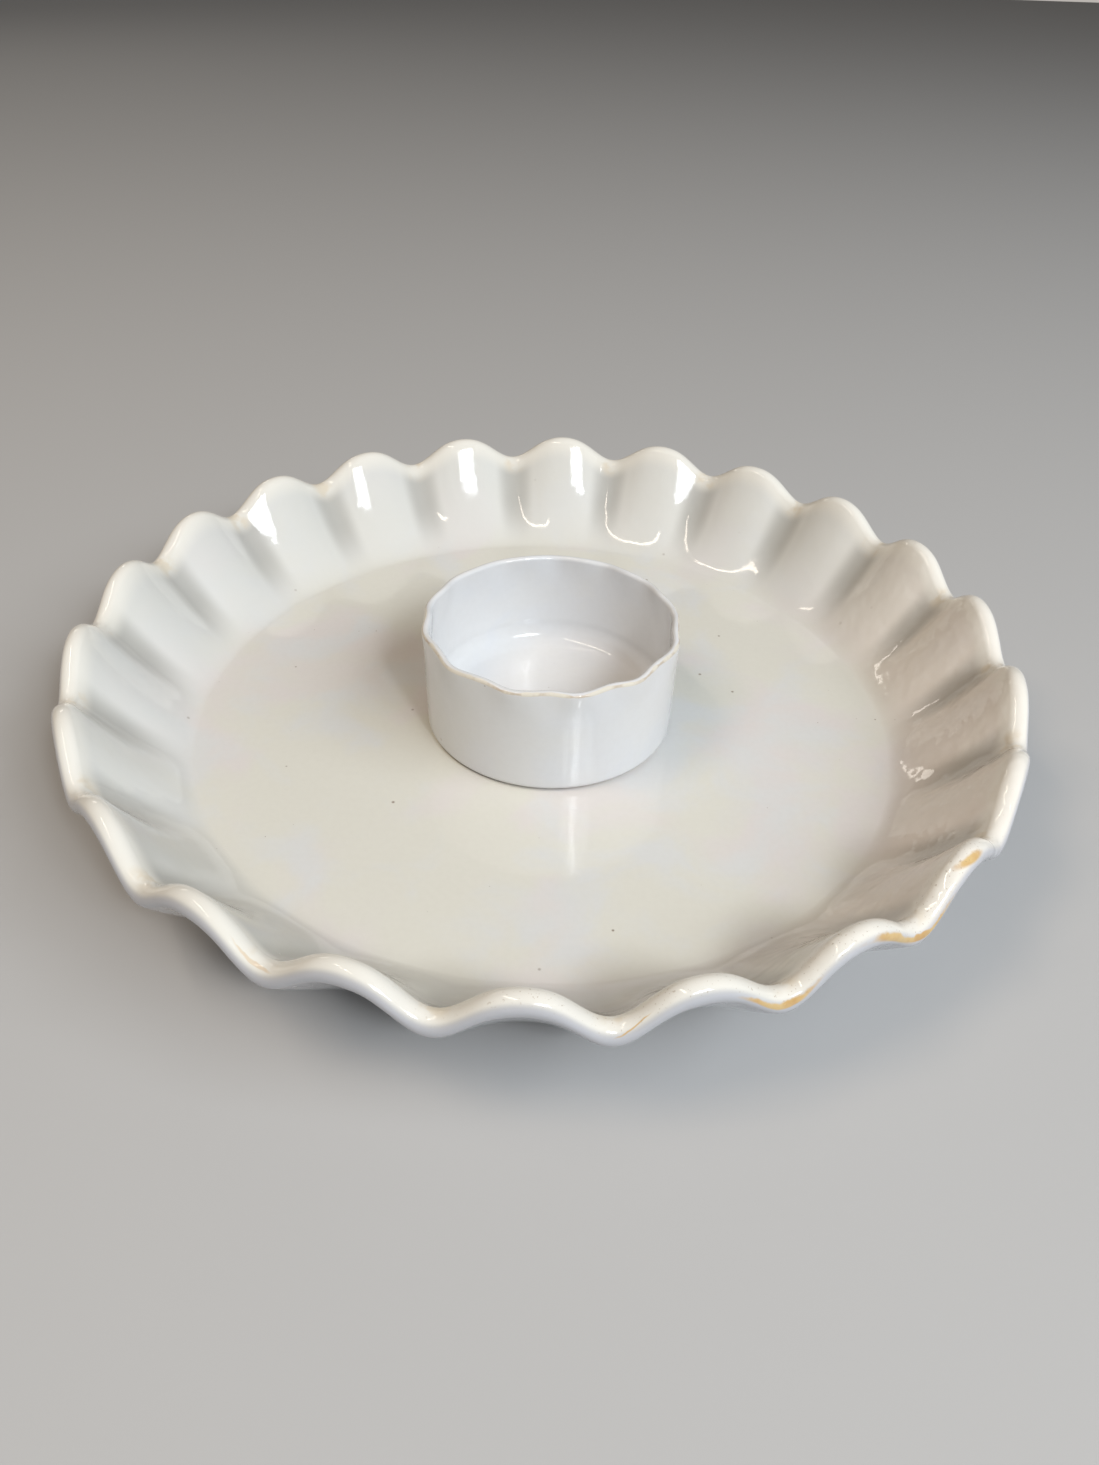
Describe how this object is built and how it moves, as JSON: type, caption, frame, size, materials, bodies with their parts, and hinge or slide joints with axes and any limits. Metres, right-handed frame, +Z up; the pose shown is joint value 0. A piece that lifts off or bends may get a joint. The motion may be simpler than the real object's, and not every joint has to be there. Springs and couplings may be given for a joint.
{
  "type": "chip and dip server",
  "caption": "Wide round stoneware platter with a deep fluted rim and a rounded lip, and a small straight-sided dip bowl standing loose in its middle.",
  "frame": {"origin": "on the table, under the middle of the platter", "axes": "+Z straight up out of the platter, +X and +Y level; the usual view looks along +Y"},
  "size_m": [0.3458, 0.3441, 0.0534],
  "materials": {
    "platter_glaze": "glossy warm white glaze over stoneware",
    "bowl_glaze": "glossy blue-white glaze over stoneware"
  },
  "bodies": {
    "platter": {"platter": "platter_glaze"},
    "dip_bowl": {"dip_bowl": "bowl_glaze"}
  },
  "joints": [
    {"name": "dip_bowl_lift", "type": "slide", "parent": "platter", "child": "dip_bowl", "axis": [0, 0, 1], "range_m": [0, 0.15]}
  ]
}
